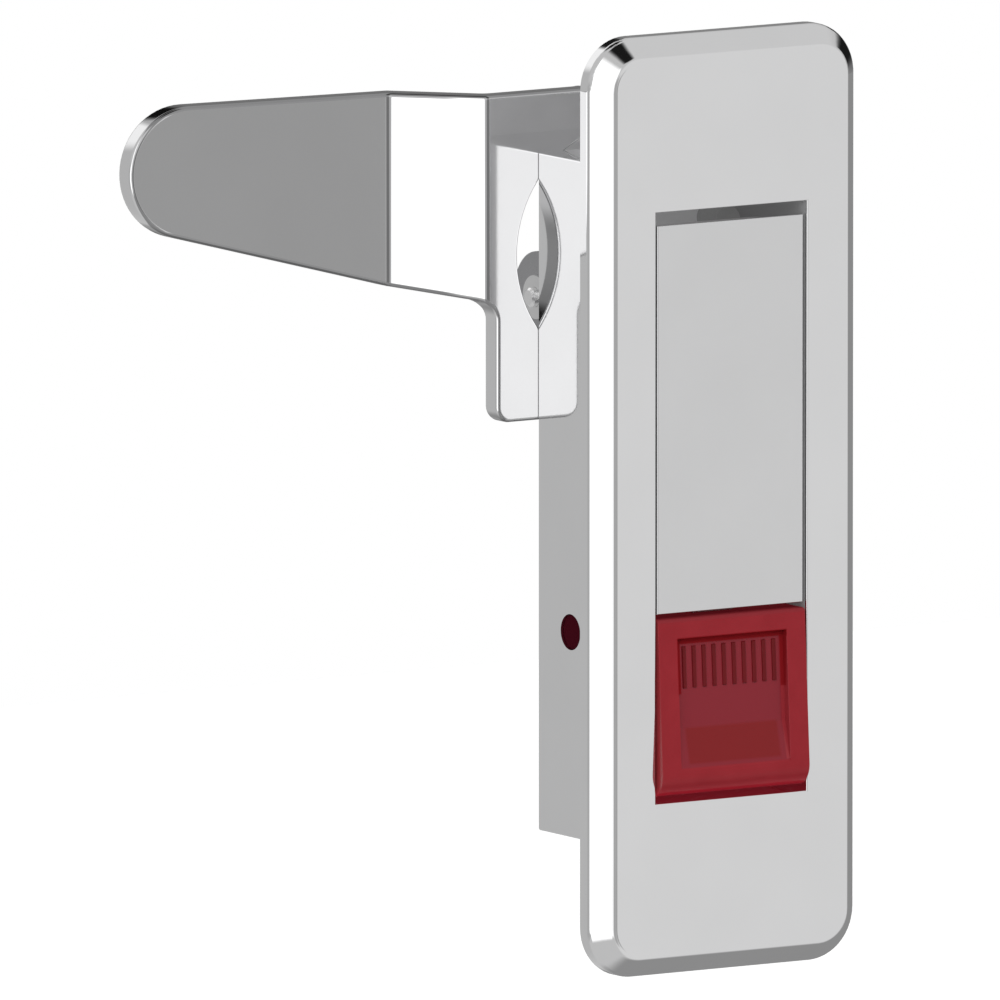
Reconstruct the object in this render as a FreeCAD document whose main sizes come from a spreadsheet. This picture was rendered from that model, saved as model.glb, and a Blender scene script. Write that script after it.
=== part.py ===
import FreeCAD, Part
import math
import os
import re
import Sketcher

# Flush panel lock: a chromed face housing with a hinged flap handle, a red push button below it,
# and a bent sheet tongue that the flap turns behind the housing.
# Row frame: the origin is the centre of the seat, which is the rear face of the face plate where it
# lies on the panel. +X is to the right seen from the front, +Y points into the cabinet, +Z is up.
# All sizes are in millimetres and degrees.

SIZES = {
    # Face plate
    "face_width": 40.0,
    "face_height": 120.0,
    "face_thickness": 4.3,
    "face_bevel": 2.45,
    "face_corner_radius": 6.6,
    "face_edge_round": 1.0,
    # Housing box behind the face plate, and the opening that flap and button share
    "opening_width": 22.75,
    "opening_height": 75.5,
    "opening_edge_round": 0.15,
    "box_width": 30.6,
    "box_height": 86.8,
    "box_depth": 17.05,
    "box_corner_radius": 0.3,
    "rear_wall": 2.5,
    # Fits
    "running_clearance": 0.05,
    "seat_clearance": 0.02,
    "end_play": 0.1,
    "joint_bite": 0.5,
    "cut_margin": 1.0,
    # Fixing studs
    "stud_spacing": 104.0,
    "stud_diameter": 4.0,
    "stud_root_diameter": 5.0,
    "stud_length": 12.0,
    "stud_seat_depth": 1.6,
    "stud_chamfer": 0.6,
    # Flap hinge
    "hinge_height": 24.0,
    "hinge_setback": 1.7,
    "hinge_pin_diameter": 3.0,
    "hinge_pin_inset": 0.3,
    "pin_chamfer": 0.3,
    # Flap handle
    "flap_top_gap": 1.75,
    "flap_length": 49.6,
    "flap_side_gap": 0.4,
    "flap_recess": 0.3,
    "flap_thickness": 2.6,
    "flap_edge_round": 0.15,
    "flap_top_chamfer": 1.3,
    "flap_swing": 60.0,
    "flap_rib_thickness": 1.5,
    "flap_rib_depth": 2.2,
    "flap_rib_drop": 0.6,
    "barrel_diameter": 5.8,
    "barrel_width": 2.3,
    # Ball on the flap that drives the rotor
    "drive_arm": 10.7,
    "drive_ball_diameter": 3.0,
    "drive_stem_diameter": 1.8,
    "drive_stem_seat": 3.0,
    "drive_rib_width": 2.8,
    "drive_rib_reach": 8.0,
    "drive_rib_height": 4.4,
    # Rotor, its bush, and the shaft that carries the tongue
    "tongue_swing": 90.0,
    "rotor_disc_diameter": 18.8,
    "rotor_disc_thickness": 3.1,
    "rotor_slot_play": 0.65,
    "rotor_slot_end_gap": 0.25,
    "rotor_hub_diameter": 7.6,
    "rotor_hub_height": 0.7,
    "shaft_diameter": 6.0,
    "shaft_tail": 4.2,
    "shaft_chamfer": 0.6,
    "bush_diameter": 9.0,
    "friction_washer_diameter": 12.0,
    "friction_washer_thickness": 0.8,
    "spacer_diameter": 11.0,
    # Tongue: one bent sheet
    "tongue_gap": 0.12,
    "sheet_thickness": 3.0,
    "plate_width": 43.0,
    "plate_height": 41.95,
    "plate_rise": 27.1,
    "plate_corner_radius": 2.0,
    "plate_hole_width": 36.8,
    "plate_hole_height": 30.8,
    "plate_hole_rise": 6.4,
    "first_bend_overhang": 1.4,
    "step_length": 12.95,
    "step_angle": 46.5,
    "arm_length": 36.75,
    "arm_angle": 5.0,
    "arm_taper": 14.8,
    "step_taper_drop": 1.9,
    "root_fillet": 2.8,
    "nose_radius": 8.5,
    "nose_overrun": 2.0,
    "outline_margin": 5.0,
    "bend_outer_round": 1.2,
    "bend_inner_round": 1.3,
    "sheet_edge_round": 0.35,
    # Yoke riveted behind the tongue's plate
    "yoke_sheet": 2.0,
    "yoke_width": 23.0,
    "yoke_ear_radius": 5.8,
    "yoke_bend_round": 1.6,
    "yoke_margin": 0.8,
    "cross_pin_setback": 23.05,
    "cross_pin_diameter": 2.5,
    "cross_pin_overhang": 1.6,
    "clip_thickness": 0.6,
    "clip_diameter": 5.6,
    "rivet_diameter": 3.0,
    "rivet_head_diameter": 5.2,
    "rivet_head_height": 1.1,
    "rivet_dome_round": 0.75,
    "rivet_spread": 12.0,
    "rivet_edge": 3.0,
    # Push button
    "button_gap": 0.7,
    "button_height": 22.65,
    "button_side_gap": 0.3,
    "button_bulge": 1.35,
    "button_front_wall": 2.6,
    "button_cheek": 1.8,
    "button_top_wall": 1.6,
    "button_sole": 1.4,
    "button_sole_depth": 11.8,
    "button_sole_slope": 0.3,
    "button_edge_round": 0.45,
    "button_chin_round": 2.8,
    "trunnion_drop": 2.8,
    "trunnion_setback": 9.6,
    "trunnion_diameter": 4.5,
    "trunnion_inset": 0.4,
    "cheek_margin": 2.5,
    "cheek_taper": 1.0,
    "dish_width": 16.4,
    "dish_top_drop": 2.55,
    "dish_height": 16.75,
    "dish_depth": 0.85,
    "dish_knee": 11.45,
    "dish_knee_depth": 0.1,
    "dish_run_out": 0.2,
    # Catch between button and flap
    "catch_width": 6.0,
    "catch_sheet": 0.5,
    "catch_overlap": 0.4,
    "catch_gap": 0.1,
    "catch_lip_drop": 0.3,
    "catch_lip_setback": 0.8,
    "striker_sheet": 1.2,
    "striker_width": 7.0,
    "striker_height": 10.0,
    "striker_foot_rise": 2.4,
    "striker_lip_height": 2.6,
    "striker_screw_diameter": 2.5,
    "striker_screw_drop": 3.4,
    "striker_screw_grip": 1.5,
    "striker_screw_head": 4.4,
    "striker_screw_head_height": 1.2,
    "striker_slot_width": 0.7,
    "catch_boss_height": 5.0,
    "catch_boss_drop": 4.6,
    "catch_boss_margin": 0.6,
    "catch_window_margin": 0.5,
    "catch_rivet_diameter": 2.0,
    "catch_rivet_head": 3.4,
    "catch_rivet_head_height": 0.7,
    "catch_rivet_grip": 1.7,
    # Button return spring and its seats
    "button_spring_drop": 15.0,
    "button_spring_radius": 2.9,
    "button_spring_wire": 0.7,
    "button_spring_turns": 6.0,
    "button_spring_boss_height": 1.4,
    "button_spring_spigot_height": 2.6,
    "spigot_diameter": 4.2,
    # Torsion spring on the hinge pin
    "flap_spring_radius": 2.45,
    "flap_spring_wire": 0.9,
    "flap_spring_pitch": 1.1,
    "flap_spring_turns": 4.0,
    "flap_spring_start": 1.6,
    "flap_spring_leg": 11.0,
    "flap_spring_hook": 3.6,
    "flap_spring_bend": 1.4,
    "flap_spring_hook_seat": 1.5,
    # Rubber buffers that stop the open flap
    "buffer_diameter": 3.6,
    "buffer_spread": 17.4,
    "buffer_seat_depth": 1.2,
}

# Places that several pieces share, as formulas in the sizes
INNER_REAR = "(box_depth - rear_wall)"
FLAP_HALF = "(opening_width / 2 - flap_side_gap)"
FLAP_TOP = "(opening_height / 2 - flap_top_gap)"
FLAP_BOTTOM = f"({FLAP_TOP} - flap_length)"
FLAP_FRONT = "(flap_recess - face_thickness)"
FLAP_REAR = f"({FLAP_FRONT} + flap_thickness)"
BALL_RISE = "(drive_arm * sin(flap_swing / 2))"
BALL_OFFSET = f"({BALL_RISE} / tan(tongue_swing / 2))"
DISC_REAR = f"({INNER_REAR} - end_play - rotor_hub_height)"
DISC_FRONT = f"({DISC_REAR} - rotor_disc_thickness)"
PLATE_FRONT = "(box_depth + tongue_gap)"
PLATE_REAR = f"({PLATE_FRONT} + sheet_thickness)"
PLATE_TOP = "(hinge_height + plate_rise)"
PLATE_BOTTOM = f"({PLATE_TOP} - plate_height)"
YOKE_REAR = f"({PLATE_REAR} + yoke_sheet)"
STRAP_HALF = "(yoke_width / 2 - yoke_sheet)"
BUTTON_TOP = f"({FLAP_BOTTOM} - button_gap)"
BUTTON_BOTTOM = f"({BUTTON_TOP} - button_height)"
BUTTON_FRONT = "(-face_thickness)"
BUTTON_INNER = f"({BUTTON_FRONT} + button_front_wall)"
BUTTON_HALF = "(opening_width / 2 - button_side_gap)"
TRUNNION_HEIGHT = f"({BUTTON_TOP} - trunnion_drop)"
STEM_ROOT = "(drive_rib_reach - drive_stem_seat)"
STRIKER_TOP = f"({FLAP_BOTTOM} + striker_foot_rise + striker_height)"
STRIKER_SCREW_HEIGHT = f"({STRIKER_TOP} - striker_screw_drop)"
LIP_FRONT = f"({FLAP_REAR} + striker_sheet + catch_lip_setback)"
LIP_BOTTOM = f"({FLAP_BOTTOM} + catch_lip_drop)"
CATCH_REAR = f"({LIP_FRONT} - catch_gap)"
CATCH_FRONT = f"({CATCH_REAR} - catch_sheet)"
CATCH_TOP = f"({LIP_BOTTOM} + catch_overlap)"
CATCH_BOSS_TOP = f"({BUTTON_TOP} - catch_boss_drop)"
SPRING_HEIGHT = f"({BUTTON_TOP} - button_spring_drop)"
SPRING_HOOK_SETBACK = "(hinge_setback + flap_spring_hook + flap_spring_bend)"
SPRING_HOOK_HEIGHT = "(hinge_height + flap_spring_radius)"
FLAP_STOP_SETBACK = (
    f"(hinge_setback + ({FLAP_REAR} - flap_top_chamfer - hinge_setback) * cos(flap_swing)"
    f" + ({FLAP_TOP} - hinge_height) * sin(flap_swing))"
)
FLAP_STOP_HEIGHT = (
    f"(hinge_height - ({FLAP_REAR} - flap_top_chamfer - hinge_setback) * sin(flap_swing)"
    f" + ({FLAP_TOP} - hinge_height) * cos(flap_swing))"
)

os.makedirs("parts", exist_ok=True)
doc = FreeCAD.newDocument("panel_lock")
sheet = doc.addObject("Spreadsheet::Sheet", "Sizes")
for row, (alias, size) in enumerate(SIZES.items(), start=1):
    sheet.set(f"A{row}", alias)
    sheet.set(f"B{row}", str(size))
    sheet.setAlias(f"B{row}", alias)
doc.recompute()

SUBPARTS = []


def formula(text):
    """The formula with each size's name pointed at the sheet."""
    def point(match):
        word = match.group(0)
        return f"Sizes.{word}" if word in SIZES else word
    return re.sub(r"[a-z][a-z_]*", point, str(text))


def value(text):
    """What a formula comes to now, as a plain number."""
    found = sheet.evalExpression(formula(text).replace("Sizes.", ""))
    return float(getattr(found, "Value", found))


def bind(thing, prop, text):
    thing.setExpression(prop, formula(text))


def new_body(name):
    body = doc.addObject("PartDesign::Body", name)
    body.Label = name
    SUBPARTS.append(body)
    return body


# Each view looks at one of the body's origin planes. The sign says whether the plane's normal
# points along the row axis or against it.
VIEWS = {"front": ("XZ_Plane", -1), "side": ("YZ_Plane", 1), "top": ("XY_Plane", 1)}


def new_sketch(body, name, view, level):
    """An empty sketch on one of the body's planes, moved to a level along the row axis."""
    role, sign = VIEWS[view]
    plane = next(item for item in body.Origin.OriginFeatures if item.Role == role)
    sketch = body.newObject("Sketcher::SketchObject", name)
    sketch.AttachmentSupport = [(plane, "")]
    sketch.MapMode = "FlatFace"
    bind(sketch, "AttachmentOffset.Base.z", f"({level}) * {sign}")
    return sketch


def pin_point(sketch, geometry, end, across, up):
    """Ties a point of the sketch to two formulas, measured from the sketch's origin."""
    for kind, text in (("DistanceX", across), ("DistanceY", up)):
        index = sketch.addConstraint(
            Sketcher.Constraint(kind, -1, 1, geometry, end, value(text)))
        label = f"{kind}_{geometry}_{end}"
        sketch.renameConstraint(index, label)
        bind(sketch, f"Constraints.{label}", text)


def size_radius(sketch, geometry, text):
    index = sketch.addConstraint(Sketcher.Constraint("Radius", geometry, value(text)))
    label = f"Radius_{geometry}"
    sketch.renameConstraint(index, label)
    bind(sketch, f"Constraints.{label}", text)


def draw_disc(sketch, across, up, radius):
    circle = Part.Circle(
        FreeCAD.Vector(value(across), value(up), 0), FreeCAD.Vector(0, 0, 1), value(radius))
    geometry = sketch.addGeometry(circle, False)
    pin_point(sketch, geometry, 3, across, up)
    size_radius(sketch, geometry, radius)


def draw_outline(sketch, corners):
    """A closed outline through corners in counter-clockwise order: (across, up) or, for a
    rounded corner, (across, up, radius)."""
    places = [FreeCAD.Vector(value(c[0]), value(c[1]), 0) for c in corners]
    count = len(corners)
    starts = list(places)
    ends = list(places)
    arcs = {}
    for i, corner in enumerate(corners):
        if len(corner) < 3:
            continue
        before = (places[i - 1] - places[i]).normalize()
        after = (places[(i + 1) % count] - places[i]).normalize()
        half = before.getAngle(after) / 2
        radius = value(corner[2])
        reach = radius / math.tan(half)
        ends[i] = places[i] + before * reach
        starts[i] = places[i] + after * reach
        centre = places[i] + (before + after).normalize() * (radius / math.sin(half))
        arcs[i] = (centre, radius)
    lines = []
    for i in range(count):
        line = Part.LineSegment(starts[i], ends[(i + 1) % count])
        lines.append(sketch.addGeometry(line, False))
    for i, corner in enumerate(corners):
        if i not in arcs:
            sketch.addConstraint(Sketcher.Constraint("Coincident", lines[i - 1], 2, lines[i], 1))
            pin_point(sketch, lines[i], 1, corner[0], corner[1])
            continue
        centre, radius = arcs[i]
        turn = (places[i] - places[i - 1]).cross(places[(i + 1) % count] - places[i]).z
        first, last = (ends[i], starts[i]) if turn > 0 else (starts[i], ends[i])
        begin = math.atan2(first.y - centre.y, first.x - centre.x)
        finish = math.atan2(last.y - centre.y, last.x - centre.x)
        circle = Part.Circle(centre, FreeCAD.Vector(0, 0, 1), radius)
        arc = sketch.addGeometry(Part.ArcOfCircle(circle, begin, finish), False)
        into, out = (1, 2) if turn > 0 else (2, 1)
        sketch.addConstraint(Sketcher.Constraint("Tangent", lines[i - 1], 2, arc, into))
        sketch.addConstraint(Sketcher.Constraint("Tangent", lines[i], 1, arc, out))
        size_radius(sketch, arc, corner[2])
        point = sketch.addGeometry(Part.Point(places[i]), True)
        sketch.addConstraint(Sketcher.Constraint("PointOnObject", point, 1, lines[i - 1]))
        sketch.addConstraint(Sketcher.Constraint("PointOnObject", point, 1, lines[i]))
        pin_point(sketch, point, 1, corner[0], corner[1])


def box_outline(left, right, low, high, radius=None):
    corners = [(left, low), (right, low), (right, high), (left, high)]
    return [c + (radius,) for c in corners] if radius else corners


def draw(sketch, shapes):
    """Draws each shape: an outline is a list of corners, a disc is (across, up, radius)."""
    for shape in shapes:
        if isinstance(shape, list):
            draw_outline(sketch, shape)
        else:
            draw_disc(sketch, *shape)


def pad(body, name, view, shapes, low, high):
    """Adds the shapes between two levels along the view's row axis."""
    sign = VIEWS[view][1]
    sketch = new_sketch(body, f"{name}_sketch", view, low if sign > 0 else high)
    draw(sketch, shapes)
    feature = body.newObject("PartDesign::Pad", name)
    feature.Profile = sketch
    bind(feature, "Length", f"({high}) - ({low})")
    doc.recompute()
    return feature


def pocket(body, name, view, shapes, low, high):
    """Cuts the shapes between two levels along the view's row axis, and checks that it cut."""
    sign = VIEWS[view][1]
    before = body.Shape.Volume
    sketch = new_sketch(body, f"{name}_sketch", view, high if sign > 0 else low)
    draw(sketch, shapes)
    feature = body.newObject("PartDesign::Pocket", name)
    feature.Profile = sketch
    bind(feature, "Length", f"({high}) - ({low})")
    doc.recompute()
    if body.Shape.Volume >= before:
        raise RuntimeError(f"{name} cuts nothing")
    return feature


def chosen_edges(body, test):
    found = enumerate(body.Shape.Edges, start=1)
    return [f"Edge{number}" for number, edge in found if test(edge)]


def dress(body, kind, name, prop, size, test):
    """A fillet or chamfer on the edges of the body that pass the test."""
    names = chosen_edges(body, test)
    if not names:
        raise RuntimeError(f"{name} finds no edge")
    feature_base = body.Tip
    feature = body.newObject(f"PartDesign::{kind}", name)
    feature.Base = (feature_base, names)
    bind(feature, prop, size)
    doc.recompute()
    return feature


def fillet(body, name, size, test):
    return dress(body, "Fillet", name, "Radius", size, test)


def chamfer(body, name, size, test):
    return dress(body, "Chamfer", name, "Size", size, test)


NEAR = 1e-4
LEVEL_SLACK = 1e-3


def near(a, b):
    return abs(a - b) < NEAR


def level_edge(edge, axis, level):
    """Whether the whole edge lies at one level along a row axis."""
    box = edge.BoundBox
    low = (box.XMin, box.YMin, box.ZMin)[axis]
    high = (box.XMax, box.YMax, box.ZMax)[axis]
    return abs(low - level) < LEVEL_SLACK and abs(high - level) < LEVEL_SLACK


def edge_along(edge, axis):
    """Whether the edge is straight and runs along a row axis."""
    if not isinstance(edge.Curve, Part.Line):
        return False
    direction = edge.Curve.Direction
    return near(abs((direction.x, direction.y, direction.z)[axis]), 1)


def cylinder_between(body, name, view, across, up, radius, low, high):
    return pad(body, name, view, [(across, up, radius)], low, high)


# Face housing


def make_face_housing():
    body = new_body("face_housing")
    plate = box_outline("-face_width / 2", "face_width / 2", "-face_height / 2",
                        "face_height / 2", "face_corner_radius")
    pad(body, "face_plate", "front", [plate], "-face_thickness", "0")
    front = -value("face_thickness")
    chamfer(body, "face_bevel", "face_bevel", lambda e: level_edge(e, 1, front))
    inner_rim = -value("face_thickness - face_bevel")
    fillet(body, "face_edges", "face_edge_round",
           lambda e: level_edge(e, 1, front) or level_edge(e, 1, inner_rim))
    box = box_outline("-box_width / 2", "box_width / 2", "-box_height / 2", "box_height / 2",
                      "box_corner_radius")
    pad(body, "box", "front", [box], "-face_thickness / 2", "box_depth")
    cavity = box_outline("-opening_width / 2", "opening_width / 2", "-opening_height / 2",
                         "opening_height / 2")
    pocket(body, "cavity", "front", [cavity], "-face_thickness", INNER_REAR)
    inside_width = value("opening_width / 2 + end_play")
    inside_height = value("opening_height / 2 + end_play")

    def opening_edge(edge):
        centre = edge.CenterOfMass
        inside = abs(centre.x) < inside_width and abs(centre.z) < inside_height
        return inside and level_edge(edge, 1, front)

    fillet(body, "opening_edges", "opening_edge_round", opening_edge)
    pocket(body, "hinge_bores", "side",
           [("hinge_setback", "hinge_height", "hinge_pin_diameter / 2 + seat_clearance")],
           "-box_width / 2", "box_width / 2")
    pocket(body, "trunnion_bores", "side",
           [("trunnion_setback", TRUNNION_HEIGHT, "trunnion_diameter / 2 + running_clearance")],
           "-box_width / 2", "box_width / 2")
    pocket(body, "spring_hook_bore", "side",
           [(SPRING_HOOK_SETBACK, SPRING_HOOK_HEIGHT, "flap_spring_wire / 2 + end_play")],
           "opening_width / 2", "opening_width / 2 + flap_spring_hook_seat + end_play")
    pocket(body, "bush_bore", "front",
           [("0", "hinge_height", "bush_diameter / 2 + seat_clearance")],
           INNER_REAR, "box_depth")
    buffers = [(f"{side} * buffer_spread / 2", FLAP_STOP_HEIGHT,
                "buffer_diameter / 2 + seat_clearance") for side in ("-1", "1")]
    pocket(body, "buffer_seats", "front", buffers,
           INNER_REAR, f"{INNER_REAR} + buffer_seat_depth")
    studs = [("0", f"{side} * stud_spacing / 2", "stud_root_diameter / 2 + seat_clearance")
             for side in ("-1", "1")]
    pocket(body, "stud_seats", "front", studs, "-stud_seat_depth", "0")
    cylinder_between(body, "spring_spigot", "front", "0", SPRING_HEIGHT, "spigot_diameter / 2",
                     f"{INNER_REAR} - button_spring_spigot_height", f"{INNER_REAR} + joint_bite")


def make_fixing_studs():
    """Two studs, one solid each: a wider root sunk in the face plate and a shank behind it."""
    studs = []
    for side, word in ((-1, "lower"), (1, "upper")):
        shank = doc.addObject("Part::Cylinder", f"{word}_stud_shank")
        root = doc.addObject("Part::Cylinder", f"{word}_stud_root")
        bind(shank, "Radius", "stud_diameter / 2")
        bind(shank, "Height", "stud_length")
        bind(root, "Radius", "stud_root_diameter / 2")
        bind(root, "Height", "stud_seat_depth - end_play")
        bind(root, "Placement.Base.y", "end_play - stud_seat_depth")
        for item in (shank, root):
            item.Placement.Rotation = FreeCAD.Rotation(FreeCAD.Vector(1, 0, 0), -90)
            bind(item, "Placement.Base.z", f"{side} * stud_spacing / 2")
        doc.recompute()
        tip = max(enumerate(shank.Shape.Edges, start=1), key=lambda n: n[1].CenterOfMass.y)[0]
        end = doc.addObject("Part::Chamfer", f"{word}_stud_end")
        end.Base = shank
        size = value("stud_chamfer")
        end.Edges = [(tip, size, size)]
        stud = doc.addObject("Part::Fuse", f"{word}_stud")
        stud.Base = end
        stud.Tool = root
        studs.append(stud)
    pair = doc.addObject("Part::Compound", "mounting_studs")
    pair.Links = studs
    pair.Label = "mounting_studs"
    SUBPARTS.append(pair)


def make_pin(name, across_half, setback, height, diameter):
    """A plain pin along X with chamfered ends."""
    body = new_body(name)
    cylinder_between(body, "shank", "side", setback, height, f"{diameter} / 2",
                     f"-{across_half}", across_half)
    end = value(across_half)
    chamfer(body, "ends", "pin_chamfer",
            lambda e: level_edge(e, 0, end) or level_edge(e, 0, -end))
    return body


def make_rotor_bush():
    body = new_body("rotor_bush")
    pad(body, "sleeve", "front",
        [("0", "hinge_height", "bush_diameter / 2"),
         ("0", "hinge_height", "shaft_diameter / 2 + running_clearance")],
        INNER_REAR, "box_depth")


def make_flap_stop_buffers():
    face = f"{FLAP_STOP_SETBACK} + end_play"
    pair = []
    for side, word in ((-1, "left"), (1, "right")):
        post = doc.addObject("Part::Cylinder", f"{word}_buffer")
        bind(post, "Radius", "buffer_diameter / 2")
        bind(post, "Height", f"{INNER_REAR} + buffer_seat_depth - end_play - ({face})")
        post.Placement.Rotation = FreeCAD.Rotation(FreeCAD.Vector(1, 0, 0), -90)
        bind(post, "Placement.Base.x", f"{side} * buffer_spread / 2")
        bind(post, "Placement.Base.y", face)
        bind(post, "Placement.Base.z", FLAP_STOP_HEIGHT)
        pair.append(post)
    both = doc.addObject("Part::Compound", "flap_stop_buffers")
    both.Links = pair
    both.Label = "flap_stop_buffers"
    SUBPARTS.append(both)


# Flap handle and what rides on it


def make_flap_handle():
    body = new_body("flap_handle")
    plate = [
        (FLAP_FRONT, FLAP_BOTTOM),
        (FLAP_REAR, FLAP_BOTTOM),
        (FLAP_REAR, f"{FLAP_TOP} - flap_top_chamfer"),
        (f"{FLAP_REAR} - flap_top_chamfer", FLAP_TOP),
        (FLAP_FRONT, FLAP_TOP),
    ]
    pad(body, "plate", "side", [plate], f"-{FLAP_HALF}", FLAP_HALF)
    front = value(FLAP_FRONT)
    fillet(body, "front_edges", "flap_edge_round", lambda e: level_edge(e, 1, front))
    rib_rear = f"({FLAP_REAR} + flap_rib_depth)"
    rib_root = f"({FLAP_REAR} - joint_bite)"
    rib_inner = f"({FLAP_HALF} - flap_rib_thickness)"
    ribs = [
        box_outline(f"-{FLAP_HALF}", f"-{rib_inner}", f"{FLAP_BOTTOM} + flap_rib_drop",
                    "hinge_height - barrel_diameter / 2"),
        box_outline(rib_inner, FLAP_HALF, f"{FLAP_BOTTOM} + flap_rib_drop",
                    "hinge_height - barrel_diameter / 2"),
    ]
    pad(body, "side_ribs", "front", ribs, rib_root, rib_rear)
    lug = [
        (rib_root, "hinge_height - barrel_diameter / 2"),
        ("hinge_setback", "hinge_height - barrel_diameter / 2"),
        ("hinge_setback", "hinge_height + barrel_diameter / 2"),
        (rib_root, "hinge_height + barrel_diameter / 2"),
    ]
    barrel = ("hinge_setback", "hinge_height", "barrel_diameter / 2")
    for side, word in ((-1, "left"), (1, "right")):
        outer = f"({FLAP_HALF} - end_play)"
        inner = f"({outer} - barrel_width)"
        low, high = (inner, outer) if side > 0 else (f"-{outer}", f"-{inner}")
        pad(body, f"{word}_lug", "side", [lug], low, high)
        pad(body, f"{word}_barrel", "side", [barrel], low, high)
    rib_left = f"(-{BALL_OFFSET} - drive_rib_width / 2)"
    rib_right = f"(-{BALL_OFFSET} + drive_rib_width / 2)"
    thick = "drive_rib_height / 2"
    arm = [
        (rib_root, f"hinge_height - {thick}"),
        (f"hinge_setback + {thick} * sin(flap_swing / 2)", f"hinge_height - {thick}"),
        ray_point("drive_rib_reach", f"-{thick}"),
        ray_point("drive_rib_reach", thick),
        (rib_root, f"hinge_height + {thick} + drive_rib_reach / 2"),
    ]
    pad(body, "drive_rib", "side", [arm], rib_left, rib_right)
    pad(body, "drive_barrel", "side", [barrel], rib_left, rib_right)
    pocket(body, "pin_bore", "side",
           [("hinge_setback", "hinge_height", "hinge_pin_diameter / 2 + running_clearance")],
           f"-{FLAP_HALF}", FLAP_HALF)
    screw = ("0", STRIKER_SCREW_HEIGHT, "striker_screw_diameter / 2 + seat_clearance")
    pocket(body, "screw_hole", "front", [screw],
           f"{FLAP_REAR} - striker_screw_grip - end_play", FLAP_REAR)
    bore_stem(body)


def ray_point(reach, aside):
    """A point of the side view: how far it lies from the hinge along the ball's line, and how
    far aside of that line."""
    half = "flap_swing / 2"
    return (f"hinge_setback + {reach} * cos({half}) - ({aside}) * sin({half})",
            f"hinge_height + {reach} * sin({half}) + ({aside}) * cos({half})")


def bore_stem(body):
    """A hole in the end of the drive rib for the ball's stem, along the line to the hinge."""
    wall = "-(drive_stem_diameter / 2 + seat_clearance)"
    low = STEM_ROOT
    high = "(drive_rib_reach + cut_margin)"
    sketch = new_sketch(body, "stem_bore_sketch", "side", f"-{BALL_OFFSET}")
    draw_outline(sketch, [ray_point(low, wall), ray_point(high, wall),
                          ray_point(high, "0"), ray_point(low, "0")])
    doc.recompute()
    groove = body.newObject("PartDesign::Groove", "stem_bore")
    groove.Profile = sketch
    groove.ReferenceAxis = (sketch, [edge_on_ray(sketch)])
    groove.Angle = 360
    before = body.Shape.Volume
    doc.recompute()
    if body.Shape.Volume >= before:
        raise RuntimeError("stem_bore cuts nothing")


def edge_on_ray(sketch):
    """The name of the sketch's edge that lies on the line from the hinge through the ball."""
    hinge = FreeCAD.Vector(0, value("hinge_setback"), value("hinge_height"))
    along = FreeCAD.Vector(0, math.cos(math.radians(value("flap_swing / 2"))),
                           math.sin(math.radians(value("flap_swing / 2"))))
    for number, edge in enumerate(sketch.Shape.Edges, start=1):
        offsets = []
        for vertex in edge.Vertexes:
            point = vertex.Point - hinge
            point.x = 0
            offsets.append(point.cross(along).Length)
        if max(offsets) < LEVEL_SLACK:
            return f"Edge{number}"
    raise RuntimeError("no edge on the ray")


def make_drive_ball_pin():
    """A steel ball on a stem, pressed into the end of the drive rib."""
    half = math.radians(value("flap_swing / 2"))
    along = FreeCAD.Vector(0, math.cos(half), math.sin(half))
    hinge = FreeCAD.Vector(-value(BALL_OFFSET), value("hinge_setback"), value("hinge_height"))
    ball = doc.addObject("Part::Sphere", "drive_ball")
    bind(ball, "Radius", "drive_ball_diameter / 2")
    stem = doc.addObject("Part::Cylinder", "drive_stem")
    bind(stem, "Radius", "drive_stem_diameter / 2")
    bind(stem, "Height", f"drive_arm - {STEM_ROOT} - end_play")
    turn = FreeCAD.Rotation(FreeCAD.Vector(0, 0, 1), along)
    stem.Placement = FreeCAD.Placement(hinge + along * value(f"{STEM_ROOT} + end_play"), turn)
    ball.Placement = FreeCAD.Placement(hinge + along * value("drive_arm"), turn)
    for item, reach in ((stem, f"({STEM_ROOT} + end_play)"), (ball, "drive_arm")):
        bind(item, "Placement.Base.x", f"-{BALL_OFFSET}")
        bind(item, "Placement.Base.y", f"hinge_setback + {reach} * cos(flap_swing / 2)")
        bind(item, "Placement.Base.z", f"hinge_height + {reach} * sin(flap_swing / 2)")
    pin = doc.addObject("Part::MultiFuse", "drive_ball_pin")
    pin.Shapes = [ball, stem]
    pin.Label = "drive_ball_pin"
    SUBPARTS.append(pin)


def make_striker():
    """A bent steel plate on the back of the flap; its lip is what the catch spring holds."""
    body = new_body("flap_striker")
    foot_top = f"({LIP_BOTTOM} + striker_lip_height)"
    lip_rear = f"({LIP_FRONT} + striker_sheet)"
    profile = [
        (FLAP_REAR, foot_top),
        (LIP_FRONT, foot_top),
        (LIP_FRONT, LIP_BOTTOM),
        (lip_rear, LIP_BOTTOM),
        (lip_rear, f"{foot_top} + striker_sheet"),
        (f"{FLAP_REAR} + striker_sheet", f"{foot_top} + striker_sheet"),
        (f"{FLAP_REAR} + striker_sheet", STRIKER_TOP),
        (FLAP_REAR, STRIKER_TOP),
    ]
    pad(body, "profile", "side", [profile], "-striker_width / 2", "striker_width / 2")
    pocket(body, "screw_hole", "front",
           [("0", STRIKER_SCREW_HEIGHT, "striker_screw_diameter / 2 + seat_clearance")],
           FLAP_REAR, f"{FLAP_REAR} + striker_sheet")


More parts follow.
